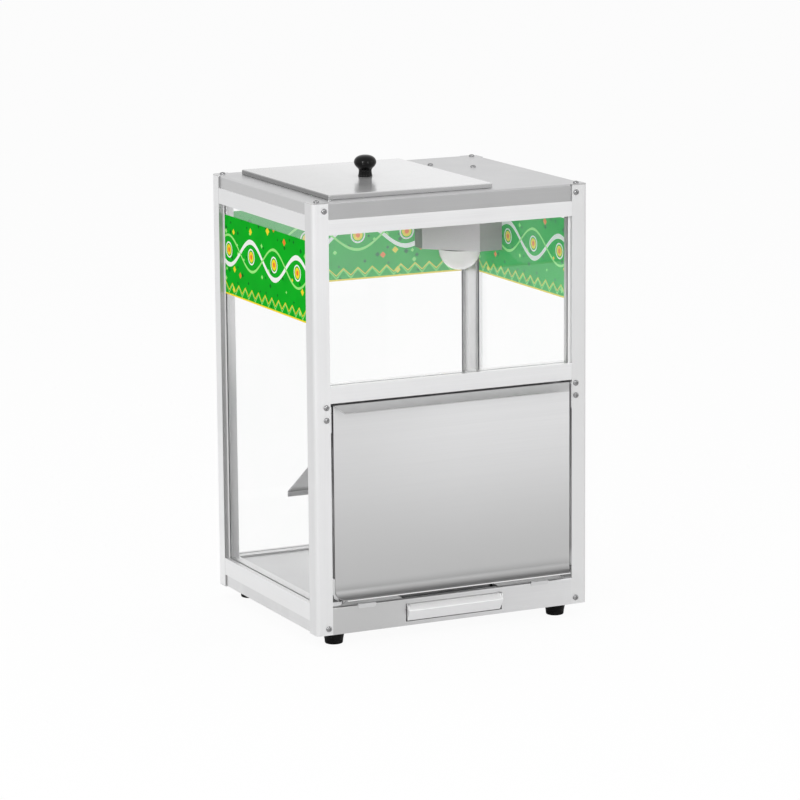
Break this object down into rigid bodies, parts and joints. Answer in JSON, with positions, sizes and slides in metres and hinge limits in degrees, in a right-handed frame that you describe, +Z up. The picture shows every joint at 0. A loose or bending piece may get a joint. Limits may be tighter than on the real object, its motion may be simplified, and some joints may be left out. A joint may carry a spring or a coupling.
{
  "type": "chip warmer",
  "caption": "Tall glass-sided warming cabinet for chips with an aluminium frame, drop-down steel front door, lift-off lid, lamp, baffle and crumb tray.",
  "frame": {"origin": "centre of the overall bounding box at the underside of the rubber feet", "axes": "+Z up; -Y out of the front (door) side; +X to the right when facing the front"},
  "size_m": [0.4, 0.365, 0.6238],
  "materials": {
    "frame_aluminium": "satin, fine grain along the extrusion",
    "sheet_steel": "fine brushed",
    "door_steel": "fine brushed along the width",
    "bracket_steel": "plain rolled",
    "screw_steel": "polished",
    "clear_glass": "clear float glass",
    "dome_glass": "clear pressed glass",
    "bulb_glass": "pearl glass",
    "pale_seal": "matt, pale grey",
    "banner_film": "printed film",
    "black_plastic": "fine texture",
    "black_gloss": "polished",
    "black_rubber": "matt",
    "lamp_white": "white enamel"
  },
  "bodies": {
    "cabinet": {"post_front_left": "frame_aluminium", "post_front_right": "frame_aluminium", "post_rear_left": "frame_aluminium", "post_rear_right": "frame_aluminium", "top_rail_front": "frame_aluminium", "top_rail_rear": "frame_aluminium", "top_rail_left": "frame_aluminium", "top_rail_right": "frame_aluminium", "mid_rail_front": "frame_aluminium", "bottom_rail_left": "frame_aluminium", "bottom_rail_right": "frame_aluminium", "bottom_rail_rear": "frame_aluminium", "roof_panel": "sheet_steel", "bottom_pan": "sheet_steel", "base_panel_front": "sheet_steel", "floor_panel": "sheet_steel", "baffle": "sheet_steel", "glass_front": "clear_glass", "glass_rear": "clear_glass", "glass_left": "clear_glass", "glass_right": "clear_glass", "seal_front": "pale_seal", "seal_rear": "pale_seal", "seal_left": "pale_seal", "seal_right": "pale_seal", "banner_rear": "banner_film", "banner_left": "banner_film", "banner_right": "banner_film", "hinge_lug_right": "bracket_steel", "hinge_lug_left": "bracket_steel", "catch_bracket_right": "bracket_steel", "catch_bracket_left": "bracket_steel", "catch_magnet_right": "black_plastic", "catch_magnet_left": "black_plastic", "tray_runner_right": "sheet_steel", "tray_runner_left": "sheet_steel", "lamp_housing": "sheet_steel", "lamp_cup": "lamp_white", "lamp_ring": "black_rubber", "lamp_dome": "dome_glass", "lamp_bulb": "bulb_glass", "foot_front_left": "black_rubber", "foot_front_right": "black_rubber", "foot_rear_left": "black_rubber", "foot_rear_right": "black_rubber", "foot_screws": "screw_steel", "roof_screws": "screw_steel", "pan_screws": "screw_steel", "post_screws": "screw_steel", "catch_screws": "screw_steel", "lamp_screws": "screw_steel", "switch_bezel": "black_plastic", "cord_gland": "black_plastic"},
    "door": {"door_panel": "door_steel"},
    "tray": {"crumb_tray": "sheet_steel"},
    "lid": {"lid_panel": "sheet_steel", "lid_knob": "black_gloss", "knob_screw": "screw_steel"},
    "rocker": {"switch_rocker": "black_gloss"}
  },
  "joints": [
    {"name": "door_hinge", "type": "hinge", "parent": "cabinet", "child": "door", "pos_m": [0, -0.1588, 0.0612], "axis": [1, 0, 0], "range_deg": [0, 65]},
    {"name": "tray_slide", "type": "slide", "parent": "cabinet", "child": "tray", "axis": [0, -1, 0], "range_m": [0, 0.2]},
    {"name": "lid_lift", "type": "slide", "parent": "cabinet", "child": "lid", "axis": [0, 0, 1], "range_m": [0, 0.15]},
    {"name": "rocker_tilt", "type": "hinge", "parent": "cabinet", "child": "rocker", "pos_m": [0.118, 0.1625, 0.0439], "axis": [0, 0, 1], "range_deg": [-18, 0]}
  ]
}
